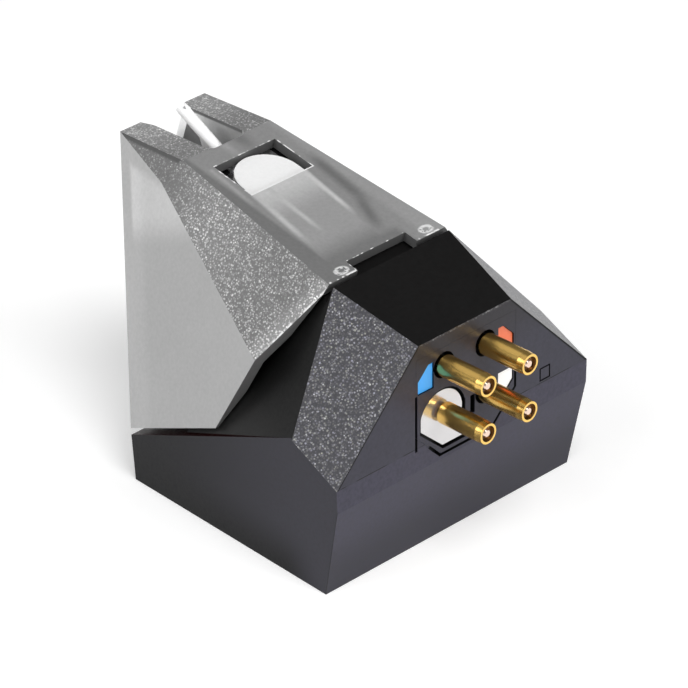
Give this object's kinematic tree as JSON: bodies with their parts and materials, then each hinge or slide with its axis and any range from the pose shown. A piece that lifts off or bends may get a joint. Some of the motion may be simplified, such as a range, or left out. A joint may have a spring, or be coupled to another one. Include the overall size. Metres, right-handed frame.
{
  "type": "phono cartridge",
  "caption": "Faceted moving magnet phono cartridge on its mounting face, with gold terminal pins behind and a pull-off stylus guard with a window and a sprung cantilever.",
  "frame": {"origin": "on the mounting face, midway between the two mounting screw holes", "axes": "+Y to the front, where the stylus is; +Z from the mounting face up to the stylus; X across, from one screw hole to the other"},
  "size_m": [0.0184, 0.0253, 0.0176],
  "materials": {
    "base_plastic": "satin moulded",
    "shell_plastic": "satin, with a fine light sparkle on the shoulders",
    "plate_plastic": "satin moulded",
    "pin_gold": "polished gold plate",
    "chip_blue": "smooth",
    "chip_red": "smooth",
    "chip_white": "smooth",
    "chip_pale": "smooth",
    "pole_iron": "plain rolled",
    "bobbin_plastic": "plain moulded",
    "winding_copper": "enamelled wire",
    "guard_plastic": "satin grey with a fine sparkle, clear behind the window",
    "holder_plastic": "satin moulded",
    "sleeve_metal": "turned",
    "damper_rubber": "soft moulded",
    "wire_steel": "drawn",
    "magnet_metal": "sintered",
    "cantilever_metal": "drawn, bright",
    "tip_diamond": "ground and polished"
  },
  "bodies": {
    "cartridge_body": {"mounting_base": "base_plastic", "body_shell": "shell_plastic", "terminal_plate": "plate_plastic", "terminal_pin_upper_left": "pin_gold", "terminal_pin_upper_right": "pin_gold", "terminal_pin_lower_left": "pin_gold", "terminal_pin_lower_right": "pin_gold", "code_chip_blue": "chip_blue", "code_chip_red": "chip_red", "code_chip_white": "chip_white", "code_plate_pale": "chip_pale", "pole_piece_left_upper": "pole_iron", "pole_piece_left_lower": "pole_iron", "pole_piece_right_upper": "pole_iron", "pole_piece_right_lower": "pole_iron", "coil_bobbin_left_upper": "bobbin_plastic", "coil_bobbin_left_lower": "bobbin_plastic", "coil_bobbin_right_upper": "bobbin_plastic", "coil_bobbin_right_lower": "bobbin_plastic", "coil_winding_left_upper": "winding_copper", "coil_winding_left_lower": "winding_copper", "coil_winding_right_upper": "winding_copper", "coil_winding_right_lower": "winding_copper", "yoke": "pole_iron"},
    "stylus_unit": {"stylus_guard": "guard_plastic", "stylus_holder": "holder_plastic", "suspension_sleeve": "sleeve_metal", "tie_wire": "wire_steel"},
    "damper": {"suspension_damper": "damper_rubber"},
    "cantilever_arm": {"cantilever": "cantilever_metal", "magnet": "magnet_metal", "stylus_tip": "tip_diamond"}
  },
  "joints": [
    {"name": "stylus_pull", "type": "slide", "parent": "cartridge_body", "child": "stylus_unit", "axis": [0, 0.9813, 0.1925], "range_m": [0, 0.0075]},
    {"name": "cantilever_lift", "type": "hinge", "parent": "stylus_unit", "child": "damper", "pos_m": [0, 0.00406, 0.01461], "axis": [1, 0, 0], "range_deg": [-3, 3], "stiffness_Nm_per_rad": 0.0018},
    {"name": "cantilever_sway", "type": "hinge", "parent": "damper", "child": "cantilever_arm", "pos_m": [0, 0.00406, 0.01461], "axis": [0, -0.4741, 0.8805], "range_deg": [-2.5, 2.5], "stiffness_Nm_per_rad": 0.0018}
  ]
}
